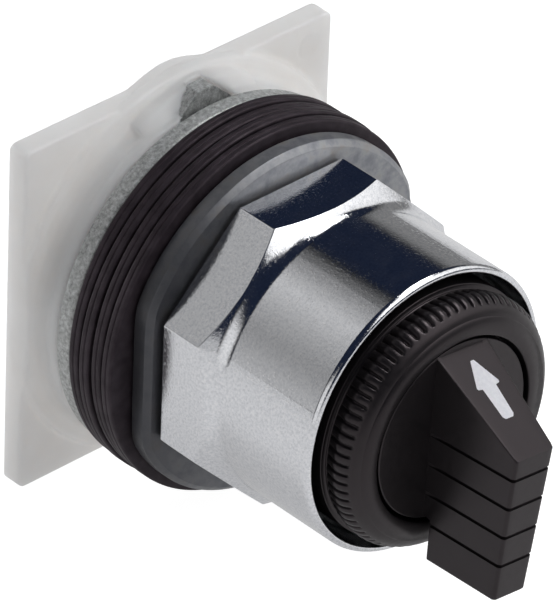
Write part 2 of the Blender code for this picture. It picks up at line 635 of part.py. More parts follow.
def make_plungers():
    head_r, head_rear, head_front, nose_end = 2.5, -7.3, -6.4, -4.9
    for side, axis in plunger_axes.items():
        outline = arc(0, nose_end, 1.9, PLUNGER_TIP - nose_end, 90, 0, 4)
        outline[0] = (0, PLUNGER_TIP)
        outline += [(1.9, head_front), (head_r, head_front), (head_r, head_rear), (1.5, head_rear),
                    (1.5, PLUNGER_REAR + 0.3), (1.2, PLUNGER_REAR), (0, PLUNGER_REAR)]
        finish(turned("plunger_" + side, outline, SMALL_ROUND), "natural_nylon", axis)
        turns, steps, wire_r, coil_r = 3, 10, 0.3, 2.2
        rear, front = RETAINER_FRONT + GAP + wire_r, head_rear - GAP - wire_r
        coil = []
        for i in range(turns * steps + 1):
            a = 2 * math.pi * i / steps
            z = rear + (front - rear) * i / (turns * steps)
            coil.append((coil_r * math.cos(a), coil_r * math.sin(a), z))
        spring = finish(wire("return_spring_" + side, coil, wire_r), "spring_steel")
        spring.location = axis.location


make_gaskets()
make_trim_washer()
make_ring_nut()
make_housing()
make_back_plate()
make_plate_fasteners()
make_retainer_plate()
make_detent_springs()
make_bush_and_seals()
make_bezel_ring()
make_knob()
finish(arrow("arrow_insert", 0.0, -0.4, 0.0), "white_plastic", turning)
make_shaft()
make_cam()
make_detent_wheel()
make_plungers()
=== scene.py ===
"""Looks of a panel-mounted rotary selector switch operator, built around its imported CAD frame.

Each visible CAD node is replaced by a finer piece of the same size, and most pieces inside keep
their CAD shape. Lengths are in millimetres until a mesh is made. A piece is drawn in the switch's
own terms: a radius and an angle about its axis, and a station s along that axis, counted forward
from the panel, so that a station s lies at y = -s in the frame.
"""
import json
import math

import bmesh
import bpy
import numpy as np
from mathutils import Matrix, Vector


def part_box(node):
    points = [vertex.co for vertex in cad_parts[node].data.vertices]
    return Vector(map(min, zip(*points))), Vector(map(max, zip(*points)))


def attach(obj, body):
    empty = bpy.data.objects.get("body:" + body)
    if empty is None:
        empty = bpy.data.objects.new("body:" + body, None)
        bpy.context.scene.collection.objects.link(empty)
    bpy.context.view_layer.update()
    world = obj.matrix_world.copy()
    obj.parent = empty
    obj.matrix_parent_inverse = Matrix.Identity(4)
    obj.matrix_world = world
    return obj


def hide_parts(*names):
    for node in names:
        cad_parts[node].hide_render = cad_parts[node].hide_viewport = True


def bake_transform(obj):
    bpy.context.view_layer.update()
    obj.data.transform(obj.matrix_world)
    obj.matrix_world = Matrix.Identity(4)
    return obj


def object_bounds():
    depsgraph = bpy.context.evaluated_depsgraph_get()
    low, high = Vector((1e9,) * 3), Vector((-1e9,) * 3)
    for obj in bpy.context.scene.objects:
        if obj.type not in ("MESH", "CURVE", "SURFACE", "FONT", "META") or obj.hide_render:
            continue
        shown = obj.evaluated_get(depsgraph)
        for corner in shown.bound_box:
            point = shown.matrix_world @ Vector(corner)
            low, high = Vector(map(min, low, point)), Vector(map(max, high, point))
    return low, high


MM = 0.001
TAU = 2 * math.pi

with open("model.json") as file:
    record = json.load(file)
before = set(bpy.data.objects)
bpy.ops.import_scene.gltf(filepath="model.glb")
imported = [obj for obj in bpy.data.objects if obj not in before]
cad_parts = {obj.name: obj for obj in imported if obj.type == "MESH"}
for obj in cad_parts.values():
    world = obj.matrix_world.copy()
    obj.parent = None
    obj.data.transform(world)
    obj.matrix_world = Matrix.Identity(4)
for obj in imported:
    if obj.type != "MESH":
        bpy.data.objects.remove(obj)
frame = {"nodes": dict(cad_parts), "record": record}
cad_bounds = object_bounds()


# ---------------------------------------------------------------- sizes taken from the frame

def stations(node):
    """The rear and front stations of a CAD node."""
    low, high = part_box(node)
    return -high.y / MM, -low.y / MM


def half_width(node):
    low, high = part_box(node)
    return (high.x - low.x) / 2 / MM


def middle(node):
    low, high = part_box(node)
    return (low.x + high.x) / 2 / MM, (low.z + high.z) / 2 / MM


BODY, ROTOR = "operator_body", "rotor"
GASKETS = ["gasket_%d" % i for i in (1, 2, 3, 4)]
SCREWS = ["plate_screw_%d" % i for i in (1, 2, 3, 4)]

PLATE_REAR, HUB_FRONT = stations("back_plate")
PLATE_HALF_X, PLATE_HALF_Z, PLATE_THICK = half_width("back_plate"), 20.45, 2.6
PLATE_FRONT = PLATE_REAR + PLATE_THICK
PLATE_HOLE_R, POCKET_R = 12.4, 17.5
SCREW_RING_R, INSERT_RING_R, SCREW_HOLE_R = 14.8, 15.2, 1.5
HUB_R, HUB_FLARE_R = 20.0, 22.0
HUMP_CREST = [(0.0, 21.75), (1.0, 21.7), (2.6, 21.35), (4.2, 20.8), (6.0, 20.2), (7.6, 19.2)]
HUMP_HALF, HUMP_FOOT, HUMP_R = HUMP_CREST[-1][0], 17.8, 19.8

FLANGE_R, FLANGE_REAR, FLANGE_FRONT = half_width("operator_housing"), -8.7, -6.7
HOUSING_REAR, HOUSING_FRONT = stations("operator_housing")
LUG_REAR, LUG_FRONT = -11.5, -9.74
LUG_HALF, LUG_TOP_HALF, LUG_TOP, LUG_SIDE_TOP, LUG_ROOT = 3.6, 1.0, 21.4, 19.1, 16.2
BARREL_R, BORE_R = 14.85, 15.15
THREAD_PITCH, THREAD_DEPTH, THREAD_TURNS, THREAD_START = 1.0, 0.4, 10, 1.5
NECK_R, NECK_BORE_R, NECK_ROOT = 12.55, 10.8, 12.6
CAVITY_R, SEAT_R, SHAFT_HOLE_R = 12.3, 17.0, 4.5
BULKHEAD_REAR, BULKHEAD_FRONT = 5.0, 8.4
WASHER_R, WASHER_FLAT = 19.7, half_width("trim_washer")
NUT_REAR, NUT_FRONT = stations("ring_nut")
NUT_APOTHEM, NUT_BARREL_R, NUT_RIM_RADIUS = half_width("ring_nut"), 15.93, 0.65
NUT_ROOT, NUT_ROOT_RADIUS = 11.04, 2.2
CONE_AT_FLAT, CONE_SLOPE = 9.3, 0.797
BEZEL_REAR, BEZEL_FRONT = stations("bezel_ring")
BEZEL_SKIRT_R, BEZEL_R, BEZEL_WAIST_R = half_width("bezel_ring"), 13.95, 13.65
BEZEL_FACE_R, BEZEL_HOLE_R, BEZEL_BORE_R = 12.35, 10.35, 12.85
BEZEL_STEP, BEZEL_LIP, SHOULDER_RADIUS, SHOULDER_END = 23.45, 25.4, 2.35, math.radians(70)
RIDGES, RIDGE_DEPTH, RIDGE_COLUMNS = 78, 0.32, 20
RIDGE_FADE = 26.5, 26.9

KNOB_REAR, LEVER_TIP = stations("knob")
DISC_R, DISC_FRONT, SLOPE_FRONT = 9.95, 27.4, 27.3
KNOB_FLANGE_R, KNOB_FLANGE_REAR, KNOB_FLANGE_FRONT = 12.3, 23.35, 25.1
KNOB_HUB_R, SOCKET_R, SOCKET_END = 7.0, 3.3, 21.0
KNOB_LEAN = math.radians(5.3)
LEVER_TOP, LEVER_PEAK, LEVER_BOTTOM = 9.35, 2.7, -14.28
LEVER_ROOT, LEVER_BACK, LEVER_FOOT = 27.5, 28.4, 37.7
LEVER_HALF, LEVER_FLARE, LEVER_UNFLARE, LEVER_TAPER, LEVER_SKEW = 3.03, 0.0495, 0.0021, 0.0445, 0.0238
LEVER_CORNER, ARROW_CORNER = 0.42, 0.22
GROOVES = [0.4, -3.05, -6.5, -9.95]
GROOVE_HALF, GROOVE_DEPTH = 0.2, 0.3


# ---------------------------------------------------------------- meshes

def ring_points(radii, angles, stations_):
    """Points in the frame for arrays of radii, angles and stations, in metres."""
    radii, angles, stations_ = np.broadcast_arrays(radii, angles, stations_)
    return np.stack([radii * np.cos(angles), -stations_, radii * np.sin(angles)], axis=-1) * MM


def grid_mesh(name, grid):
    """Skins a grid of points, rows by columns, that closes up both ways."""
    rows, columns = grid.shape[:2]
    index = np.arange(rows * columns).reshape(rows, columns)
    index = np.vstack([index, index[:1]])
    ahead = np.roll(index, -1, axis=1)
    faces = np.stack([index[:-1], ahead[:-1], ahead[1:], index[1:]], axis=-1).reshape(-1, 4)
    mesh = bpy.data.meshes.new(name)
    mesh.from_pydata(grid.reshape(-1, 3).tolist(), [], faces.tolist())
    return tidy_mesh(mesh)


def tidy_mesh(mesh):
    bm = bmesh.new()
    bm.from_mesh(mesh)
    bmesh.ops.remove_doubles(bm, verts=bm.verts, dist=1e-7)
    bmesh.ops.dissolve_degenerate(bm, edges=bm.edges, dist=1e-8)
    bmesh.ops.recalc_face_normals(bm, faces=bm.faces)
    bm.to_mesh(mesh)
    bm.free()
    mesh.shade_smooth()
    return mesh


def soften(outline, radius, steps=4):
    """Rounds the corners of a closed outline of (r, s) points. A third number is a corner's own radius."""
    count, result = len(outline), []
    for i, corner in enumerate(outline):
        own = corner[2] if len(corner) > 2 else radius
        here = np.array(corner[:2], float)
        before = np.array(outline[i - 1][:2], float) - here
        after = np.array(outline[(i + 1) % count][:2], float) - here
        reach_before, reach_after = np.hypot(*before), np.hypot(*after)
        before, after = before / reach_before, after / reach_after
        turn = math.acos(max(-1.0, min(1.0, float(before @ after))))
        cut = min(own / math.tan(turn / 2), 0.45 * reach_before, 0.45 * reach_after)
        if own == 0 or turn > math.radians(179):
            result += [here] * (steps + 1)
            continue
        start, end = here + before * cut, here + after * cut
        for k in range(steps + 1):
            t = k / steps
            result.append((1 - t) ** 2 * start + 2 * t * (1 - t) * here + t * t * end)
    return np.array(result)


def arc(centre_r, centre_s, radius, start, end, steps):
    """Points of an arc in a turned outline that aren't to be rounded; angles run from +r towards +s."""
    return [(centre_r + radius * math.cos(a), centre_s + radius * math.sin(a), 0)
            for a in np.radians(np.linspace(start, end, steps + 1))]


def smooth_step(low, high, value):
    t = np.clip((value - low) / (high - low), 0, 1)
    return t * t * (3 - 2 * t)


def skinned(name, loops):
    """Skins equal loops of points, in metres, in order, and closes both ends."""
    mesh = bpy.data.meshes.new(name)
    bm = bmesh.new()
    rows = [[bm.verts.new(point) for point in loop] for loop in loops]
    for lower, upper in zip(rows, rows[1:]):
        for i, vert in enumerate(lower):
            after = (i + 1) % len(lower)
            bm.faces.new((vert, lower[after], upper[after], upper[i]))
    bm.faces.new(rows[0])
    bm.faces.new(rows[-1])
    bmesh.ops.recalc_face_normals(bm, faces=bm.faces)
    bm.to_mesh(mesh)
    bm.free()
    return mesh


def lathe(name, outline, segments=192, radius=0.15, centre=(0, 0), shape=None, steps=4):
    """Turns a closed outline. shape changes the radii: shape(r, s, angles) gives them all."""
    profile = soften(outline, radius, steps) if radius else np.array([p[:2] for p in outline], float)
    angles = np.arange(segments) * TAU / segments
    radii, stations_ = profile[:, :1], profile[:, 1:]
    if shape:
        radii, stations_ = shape(radii, stations_, angles)
    grid = ring_points(radii, angles, stations_)
    grid[..., 0] += centre[0] * MM
    grid[..., 2] += centre[1] * MM
    return grid_mesh(name, grid)


def prism(name, outlines, rear, front, width=0.0):
    """Extrudes flat (x, z) outlines along the axis, with bevels of a width if one is given. An outline
    inside another is a hole."""
    curve = bpy.data.curves.new(name, "CURVE")
    curve.dimensions = "2D"
    curve.fill_mode = "BOTH"
    curve.extrude = (front - rear) / 2 * MM
    for outline in outlines:
        spline = curve.splines.new("POLY")
        spline.points.add(len(outline) - 1)
        for point, (x, z) in zip(spline.points, outline):
            point.co = (x * MM, z * MM, 0, 1)
        spline.use_cyclic_u = True
    drawn = bpy.data.objects.new(name, curve)
    mesh = evaluated(drawn)
    bpy.data.curves.remove(curve)
    mesh.transform(Matrix.Translation((0, -(front + rear) / 2 * MM, 0)) @ Matrix.Rotation(TAU / 4, 4, "X"))
    mesh = tidy_mesh(mesh)
    if width:
        mesh = modified(mesh, ("BEVEL", {"width": width * MM, "segments": 3,
                                         "limit_method": "ANGLE", "angle_limit": math.radians(30)}))
    return mesh


def evaluated(obj):
    """The mesh that an object's modifiers or curve settings give."""
    bpy.context.scene.collection.objects.link(obj)
    bpy.context.view_layer.update()
    mesh = bpy.data.meshes.new_from_object(obj.evaluated_get(bpy.context.evaluated_depsgraph_get()))
    bpy.data.objects.remove(obj, do_unlink=True)
    return mesh


def modified(mesh, *modifiers):
    """Applies modifiers, each a type with its settings, to a mesh."""
    obj = bpy.data.objects.new(mesh.name, mesh)
    for kind, settings in modifiers:
        modifier = obj.modifiers.new(kind, kind)
        for key, value in settings.items():
            setattr(modifier, key, value)
    return evaluated(obj)


def combined(mesh, *others):
    """Unites a mesh with some and cuts it by others, each given as an operation and a mesh."""
    helpers = []
    modifiers = []
    for operation, other in others:
        helper = bpy.data.objects.new(other.name, other)
        bpy.context.scene.collection.objects.link(helper)
        helpers.append(helper)
        modifiers.append(("BOOLEAN", {"operation": operation, "object": helper}))
    result = modified(mesh, *modifiers)
    for helper in helpers:
        bpy.data.objects.remove(helper, do_unlink=True)
    return result


def circle(radius, count, centre=(0, 0), turn=0.0):
    return [(centre[0] + radius * math.cos(turn + TAU * i / count),
             centre[1] + radius * math.sin(turn + TAU * i / count)) for i in range(count)]


def box(x0, x1, z0, z1):
    return [(x0, z0), (x1, z0), (x1, z1), (x0, z1)]


def rounded(outline, radius, steps=5):
    return [tuple(p) for p in soften(outline, radius, steps)]


def piece(name, mesh, body, node, material, sharp=None):
    """Puts a mesh into the scene as the piece that stands for a CAD node."""
    obj = bpy.data.objects.new(name, mesh)
    bpy.context.scene.collection.objects.link(obj)
    mesh.materials.clear()
    mesh.materials.append(material)
    mesh.shade_smooth()
    if sharp:
        mesh.set_sharp_from_angle(angle=math.radians(sharp))
    weighted = obj.modifiers.new("even_shading", "WEIGHTED_NORMAL")
    weighted.keep_sharp = True
    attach(obj, body)
    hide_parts(*([node] if isinstance(node, str) else node))
    return obj


# ---------------------------------------------------------------- materials

class Finish:
    """A Principled material, with short ways to add texture nodes to it."""

    def __init__(self, name, colour, roughness, metallic=0.0, **sockets):
        self.material = bpy.data.materials.new(name)
        self.material.use_nodes = True
        self.tree = self.material.node_tree
        self.shader = self.tree.nodes["Principled BSDF"]
        self.shader.inputs["Base Color"].default_value = (*colour, 1)
        self.shader.inputs["Roughness"].default_value = roughness
        self.shader.inputs["Metallic"].default_value = metallic
        for socket, value in sockets.items():
            self.shader.inputs[socket.replace("_", " ").title().replace("Ior", "IOR")].default_value = value
        self.place = self.tree.nodes.new("ShaderNodeTexCoord").outputs["Object"]
        self.normal = None

    def noise(self, size, detail=3.0, rough=0.5, stretch=(1, 1, 1)):
        """Noise whose features are about size millimetres, stretched along the frame's axes."""
        mapping = self.tree.nodes.new("ShaderNodeMapping")
        mapping.inputs["Scale"].default_value = [1 / (size * MM * s) for s in stretch]
        self.tree.links.new(self.place, mapping.inputs["Vector"])
        texture = self.tree.nodes.new("ShaderNodeTexNoise")
        texture.inputs["Scale"].default_value = 1.0
        texture.inputs["Detail"].default_value = detail
        texture.inputs["Roughness"].default_value = rough
        self.tree.links.new(mapping.outputs["Vector"], texture.inputs["Vector"])
        return texture.outputs["Fac"]

    def across(self, start, end):
        """0 to 1 from start to end along X, in millimetres."""
        parts = self.tree.nodes.new("ShaderNodeSeparateXYZ")
        self.tree.links.new(self.place, parts.inputs["Vector"])
        node = self.tree.nodes.new("ShaderNodeMapRange")
        node.inputs["From Min"].default_value, node.inputs["From Max"].default_value = start * MM, end * MM
        self.tree.links.new(parts.outputs["X"], node.inputs["Value"])
        return node.outputs["Result"]

    def ramp(self, value, *stops):
        """Maps a value to colours or greys: stops are (position, colour or number)."""
        node = self.tree.nodes.new("ShaderNodeValToRGB")
        elements = node.color_ramp.elements
        while len(elements) < len(stops):
            elements.new(0.5)
        for element, (position, colour) in zip(elements, stops):
            element.position = position
            element.color = (*colour, 1) if isinstance(colour, tuple) else (colour, colour, colour, 1)
        self.tree.links.new(value, node.inputs["Fac"])
        return node.outputs["Color"]

    def mix(self, factor, first, second):
        """Goes from one plain colour to a second, textured one as factor rises."""
        node = self.tree.nodes.new("ShaderNodeMix")
        node.data_type = "RGBA"
        sockets = {socket.name: socket for socket in node.inputs if socket.enabled}
        sockets["A"].default_value = (*first, 1)
        self.tree.links.new(factor, sockets["Factor"])
        self.tree.links.new(second, sockets["B"])
        return [socket for socket in node.outputs if socket.enabled][0]

    def set(self, socket, value):
        self.tree.links.new(value, self.shader.inputs[socket])

    def colours(self, value, *stops):
        self.set("Base Color", self.ramp(value, *stops))

    def roughness(self, value, low, high):
        self.set("Roughness", self.ramp(value, (0.3, low), (0.7, high)))

    def bump(self, value, height):
        """Adds relief of about height millimetres; later calls pile up on earlier ones."""
        node = self.tree.nodes.new("ShaderNodeBump")
        node.inputs["Distance"].default_value = height * MM
        self.tree.links.new(value, node.inputs["Height"])
        if self.normal:
            self.tree.links.new(self.normal, node.inputs["Normal"])
        self.normal = node.outputs["Normal"]
        self.set("Normal", self.normal)


def milky_plastic():
    """Translucent moulding, slightly cloudy, with a soft uneven skin."""
    milky = Finish("milky_plastic", (0.88, 0.86, 0.84), 0.42, subsurface_weight=1.0, subsurface_scale=0.006,
                   ior=1.49, subsurface_radius=(1.0, 0.95, 0.92))
    milky.colours(milky.noise(9, 4), (0.3, (0.83, 0.81, 0.79)), (0.7, (0.90, 0.882, 0.868)))
    milky.roughness(milky.noise(1.2, 5), 0.34, 0.5)
    milky.bump(milky.noise(0.5, 4), 0.010)
    milky.bump(milky.noise(3.5, 3), 0.05)
    return milky


def zinc():
    """Blotchy passivated die-casting."""
    casting = Finish("zinc", (0.45, 0.45, 0.44), 0.5, 0.35)
    blotches = casting.noise(0.45, 6, 0.75)
    casting.colours(blotches, (0.34, (0.24, 0.245, 0.24)), (0.5, (0.46, 0.47, 0.465)),
                    (0.64, (0.66, 0.675, 0.67)))
    casting.roughness(casting.noise(0.3, 4), 0.38, 0.62)
    casting.bump(blotches, 0.03)
    return casting


def black_rubber():
    """Matt rubber, rubbed unevenly round its rims."""
    rubber = Finish("black_rubber", (0.026, 0.020, 0.024), 0.55, specular_ior_level=0.36,
                    specular_tint=(1, 0.84, 0.95, 1))
    rubber.colours(rubber.noise(1.5, 5), (0.35, (0.016, 0.012, 0.015)), (0.7, (0.036, 0.028, 0.034)))
    rubber.roughness(rubber.noise(0.8, 5, 0.6, (3, 0.3, 3)), 0.46, 0.66)
    rubber.bump(rubber.noise(0.25, 4), 0.012)
    return rubber


def grey_washer():
    """Dull plated steel with faint brown patches, and painted shade that darkens it towards its left side."""
    washer = Finish("grey_washer", (0.3, 0.3, 0.3), 0.38, 0.6)
    patches = washer.ramp(washer.noise(2.2, 5, 0.6), (0.35, (0.23, 0.24, 0.265)), (0.55, (0.36, 0.365, 0.38)),
                          (0.72, (0.35, 0.32, 0.29)))
    # painted shade: the base colour goes from near-black at the left (x = -20 mm) to the patches at the right
    washer.set("Base Color", washer.mix(washer.across(-20, 4), (0.06, 0.06, 0.068), patches))
    washer.roughness(washer.noise(0.6, 5), 0.3, 0.46)
    washer.bump(washer.noise(0.3, 2, 0.4), 0.0012)
    return washer


def chrome():
    """Chrome over a casting: fine grain, sparse pits and a slight waviness."""
    plating = Finish("chrome", (0.82, 0.83, 0.86), 0.12, 1.0)
    grain = plating.noise(0.3, 3, 0.7)
    pits = plating.ramp(plating.noise(0.3, 2), (0.6, 0.0), (0.72, 1.0))
    plating.colours(grain, (0.36, (0.70, 0.71, 0.74)), (0.5, (0.81, 0.82, 0.85)), (0.64, (0.91, 0.91, 0.93)))
    plating.roughness(plating.noise(1.5, 5), 0.08, 0.15)
    plating.bump(grain, 0.009)
    plating.bump(pits, 0.004)
    plating.bump(plating.noise(4.0, 2), 0.003)
    return plating


def black_plastic():
    """Glass-filled moulding with a fine spark-eroded texture."""
    black = Finish("black_plastic", (0.0074, 0.0067, 0.0073), 0.35, specular_tint=(1, 0.86, 0.91, 1))
    black.colours(black.noise(3, 4), (0.3, (0.0062, 0.0056, 0.0062)), (0.7, (0.0085, 0.0077, 0.0084)))
    black.roughness(black.noise(0.6, 5), 0.29, 0.4)
    black.bump(black.noise(0.12, 3), 0.0016)
    return black


def white_plastic():
    white = Finish("white_plastic", (0.86, 0.86, 0.90), 0.5)
    white.colours(white.noise(0.4, 4), (0.3, (0.80, 0.80, 0.85)), (0.65, (0.89, 0.89, 0.93)))
    white.bump(white.noise(0.1, 3), 0.004)
    return white


def steel():
    plated = Finish("steel", (0.56, 0.56, 0.55), 0.28, 1.0)
    plated.colours(plated.noise(1.8, 4), (0.3, (0.46, 0.46, 0.44)), (0.7, (0.66, 0.65, 0.62)))
    plated.roughness(plated.noise(0.4, 5), 0.2, 0.42)
    plated.bump(plated.noise(0.15, 3), 0.003)
    return plated


def spring_steel():
    spring = Finish("spring_steel", (0.38, 0.38, 0.40), 0.3, 1.0)
    spring.colours(spring.noise(0.8, 3), (0.3, (0.32, 0.32, 0.34)), (0.7, (0.44, 0.44, 0.46)))
    spring.roughness(spring.noise(0.3, 4), 0.22, 0.42)
    return spring


def brass():
    turned = Finish("brass", (0.72, 0.52, 0.24), 0.26, 1.0)
    turned.colours(turned.noise(1.0, 4), (0.3, (0.62, 0.43, 0.18)), (0.7, (0.78, 0.58, 0.28)))
    turned.roughness(turned.noise(0.3, 4), 0.2, 0.38)
    return turned


def natural_nylon():
    nylon = Finish("natural_nylon", (0.68, 0.66, 0.58), 0.45, subsurface_weight=0.3, subsurface_scale=0.001)
    nylon.colours(nylon.noise(2, 3), (0.3, (0.62, 0.60, 0.52)), (0.7, (0.72, 0.70, 0.62)))
    nylon.bump(nylon.noise(0.3, 3), 0.004)
    return nylon


def make_finishes():
    """One finish for each material slot of the record, by the slot's name."""
    makers = [milky_plastic, zinc, black_rubber, grey_washer, chrome, black_plastic, white_plastic, steel,
              spring_steel, brass, natural_nylon]
    return {maker.__name__: maker().material for maker in makers}


# ---------------------------------------------------------------- pieces behind the panel

def lug_outline(margin):
    """The locating lug's outline, or with a margin that of the notch it sits in."""
    half = [(LUG_TOP_HALF + margin / 2, LUG_TOP + margin),
            (LUG_HALF + margin, LUG_SIDE_TOP + margin / 2), (LUG_HALF + margin, LUG_ROOT)]
    return [(-x, z) for x, z in half] + half[::-1]


def hump_mesh():
    """The low hump over the lug, which runs down into the hub."""
    across = np.linspace(-HUMP_HALF, HUMP_HALF, 61)
    crest = np.interp(np.abs(across), *zip(*HUMP_CREST))
    round_hub = np.sqrt(HUMP_R ** 2 - across ** 2)
    loops = []
    for station in np.linspace(PLATE_REAR, HUB_FRONT - 0.4, 36):
        lift = 1 - smooth_step(-11.3, HUB_FRONT - 0.4, station)
        top = round_hub + lift * (crest - round_hub)
        loop = [(x, -station, z) for x, z in zip(across, top)]
        loop += [(HUMP_HALF, -station, HUMP_FOOT), (-HUMP_HALF, -station, HUMP_FOOT)]
        loops.append(np.array(loop) * MM)
    return tidy_mesh(skinned("hump", loops))


def plate_mesh():
    """The moulded plate: square foot, flared hub and notched hump, blended by a fine remesh."""
    wall = [(-0.5, 0), (0, 0.25), (0.05, 1.2), (-0.15, 1.6), (-0.05, 2.5), (0.35, 3.2), (1.1, 3.6),
            (1.9, 3.7)]
    hub = [(POCKET_R, HUB_FRONT)] + [(HUB_R + out, HUB_FRONT - back) for out, back in wall]
    hub += [(HUB_FLARE_R, HUB_FRONT - 3.9), (HUB_FLARE_R, PLATE_FRONT - 0.9), (POCKET_R, PLATE_FRONT - 0.9)]
    rear, past = PLATE_REAR - 1, HUB_FRONT + 1
    foot = prism("foot", [rounded(box(-PLATE_HALF_X, PLATE_HALF_X, -PLATE_HALF_Z, PLATE_HALF_Z), 0.9)],
                 PLATE_REAR, PLATE_FRONT)
    steps = [("UNION", lathe("hub", hub, 144, radius=0)), ("UNION", hump_mesh())]
    for side in (-1, 1):
        edge = sorted((side * PLATE_HALF_X, side * (PLATE_HALF_X + 4)))
        steps.append(("DIFFERENCE", prism("side", [box(*edge, -30, 30)], rear, past)))
    steps.append(("DIFFERENCE", prism("notch", [lug_outline(0.22)], LUG_REAR - 0.3, past)))
    steps.append(("DIFFERENCE", prism("window", [circle(PLATE_HOLE_R, 96)], rear, PLATE_FRONT + 1)))
    for x, z in circle(SCREW_RING_R, 4, turn=TAU / 8):
        steps.append(("DIFFERENCE", prism("hole", [circle(SCREW_HOLE_R, 32, (x, z))], rear, PLATE_FRONT + 1)))
        steps.append(("DIFFERENCE", prism("recess", [circle(2.6, 40, (x, z))], rear, PLATE_REAR + 1.4)))
    for z in (-INSERT_RING_R, INSERT_RING_R):
        steps.append(("DIFFERENCE", prism("insert_hole", [circle(2.2, 32, (0, z))], rear, PLATE_FRONT + 1)))
    solid = combined(foot, *steps)
    mesh = modified(solid, ("REMESH", {"mode": "VOXEL", "voxel_size": 0.2 * MM}),
                    ("SMOOTH", {"factor": 0.5, "iterations": 5}))
    return pressed_mark(mesh, 17.7, 17.4)


def pressed_mark(mesh, x, z, radius=1.45, depth=0.07, width=0.16):
    """Presses the ring that an ejector pin leaves into the plate's front."""
    points = np.empty(len(mesh.vertices) * 3, np.float32)
    mesh.vertices.foreach_get("co", points)
    points = points.reshape(-1, 3)
    away = np.hypot(points[:, 0] / MM - x, points[:, 2] / MM - z)
    on_front = np.abs(points[:, 1] / MM + PLATE_FRONT) < 0.2
    points[:, 1] += on_front * depth * MM * np.exp(-((away - radius) / width) ** 2)
    mesh.vertices.foreach_set("co", points.ravel())
    return mesh


def housing_mesh():
    """The die-casting: barrel with its thread, flange, cavity, two inner ribs and locating lug."""
    outline = [(NECK_BORE_R, HOUSING_FRONT), (NECK_R, HOUSING_FRONT), (NECK_R, NECK_ROOT),
               (BARREL_R, NECK_ROOT)]
    for turn in range(THREAD_TURNS, 0, -1):
        crest = THREAD_START + THREAD_PITCH * turn
        outline += [(BARREL_R, crest, 0.05), (BARREL_R - THREAD_DEPTH, crest - THREAD_PITCH / 2, 0.05)]
    outline += [(BARREL_R, THREAD_START, 0.05), (BARREL_R, FLANGE_FRONT),
                (FLANGE_R, FLANGE_FRONT, 0.35), (FLANGE_R, FLANGE_REAR, 0.35),
                (SEAT_R, FLANGE_REAR), (SEAT_R, HOUSING_REAR), (CAVITY_R, HOUSING_REAR),
                (CAVITY_R, BULKHEAD_REAR), (SHAFT_HOLE_R, BULKHEAD_REAR),
                (SHAFT_HOLE_R, BULKHEAD_FRONT), (NECK_BORE_R, BULKHEAD_FRONT)]
    body = lathe("housing", outline, 192, radius=0.12, steps=3)
    lug = rounded(lug_outline(0), 0.4, 4)
    steps = [("UNION", prism("lug", [lug], LUG_REAR, LUG_FRONT, width=0.22))]
    inner, outer, half = 11.0, CAVITY_R + 0.6, math.radians(3.5)
    for side in (-1, 1):
        across = TAU / 4 + side * math.radians(60)
        rib = [(inner, across - half), (inner, across + half), (outer, across + half), (outer, across - half)]
        rib = [(r * math.cos(a), r * math.sin(a)) for r, a in rib]
        steps.append(("UNION", prism("rib", [rib], -5.0, -1.0)))
    for x, z in circle(SCREW_RING_R, 4, turn=TAU / 8):
        hole = circle(SCREW_HOLE_R, 24, (x, z))
        steps.append(("DIFFERENCE", prism("hole", [hole], HOUSING_REAR - 1, FLANGE_REAR + 0.8)))
    return combined(body, *steps)


def gasket_mesh(node, seed):
    """A rubber ring with soft edges, a mould line round its rim and slightly uneven faces."""
    rear, front = stations(node)
    outer, inner, mid = half_width(node), BORE_R + 0.1, (rear + front) / 2
    outline = [(inner, front), (outer, front, 0.28), (outer, mid + 0.1, 0.05), (outer - 0.14, mid, 0.03),
               (outer, mid - 0.1, 0.05), (outer, rear, 0.28), (inner, rear)]
    wave = np.random.default_rng(seed).uniform(0, TAU, 6)

    def uneven(radii, stations_, angles):
        swell = sum(np.sin(angles * (k + 2) + wave[k]) / (k + 2) for k in range(6))
        pull = np.clip((radii - inner) / (outer - inner), 0, 1)
        return radii - 0.03 * pull * (1 + swell) / 2, stations_ - 0.02 * pull * (1 + swell)

    return lathe(node, outline, 224, radius=0.2, centre=middle(node), shape=uneven)


def retainer_mesh():
    """A flat disc with holes for the shaft's end, the plungers and the screws."""
    rear, front = stations("retainer_plate")
    shaft_hole_r, plunger_hole_r, aside = 3.2, 1.8, middle("plunger_right")[0]
    outlines = [circle(half_width("retainer_plate"), 160), circle(shaft_hole_r, 48),
                circle(plunger_hole_r, 40, (aside, 0)), circle(plunger_hole_r, 40, (-aside, 0))]
    outlines += [circle(SCREW_HOLE_R, 32, place) for place in circle(SCREW_RING_R, 4, turn=TAU / 8)]
    return prism("retainer", outlines, rear, front, width=0.12)


def plunger_mesh(node):
    """A round-nosed push rod with a collar for its spring."""
    rear, front = stations(node)
    nose_r, collar_r, stem_r, collar_front = 1.9, 2.5, 1.5, front - 2.5
    outline = [(0, front, 0), (nose_r, front - 0.02, 1.0), (nose_r, collar_front),
               (collar_r, collar_front), (collar_r, collar_front - 0.9),
               (stem_r, collar_front - 0.9), (stem_r, rear, 0.3), (0, rear, 0)]
    return lathe(node, outline, 64, radius=0.12, centre=middle(node))


def screw_mesh(node, turn):
    """A slotted pan-head screw."""
    rear, front = stations(node)
    shank_r, head_r, head_front, slot_half, slot_depth = 1.2, 2.3, rear + 1.0, 0.3, 0.45
    outline = [(0, front, 0), (0.7, front), (shank_r, front - 0.5), (shank_r, head_front),
               (head_r, head_front), (head_r, rear, 0.5), (0, rear, 0)]
    slot = prism("slot", [box(-3, 3, -slot_half, slot_half)], rear - 1, rear + slot_depth)
    mesh = combined(lathe(node, outline, 64, radius=0.08), ("DIFFERENCE", slot))
    x, z = middle(node)
    mesh.transform(Matrix.Translation((x * MM, 0, z * MM)) @ Matrix.Rotation(turn, 4, "Y"))
    return mesh


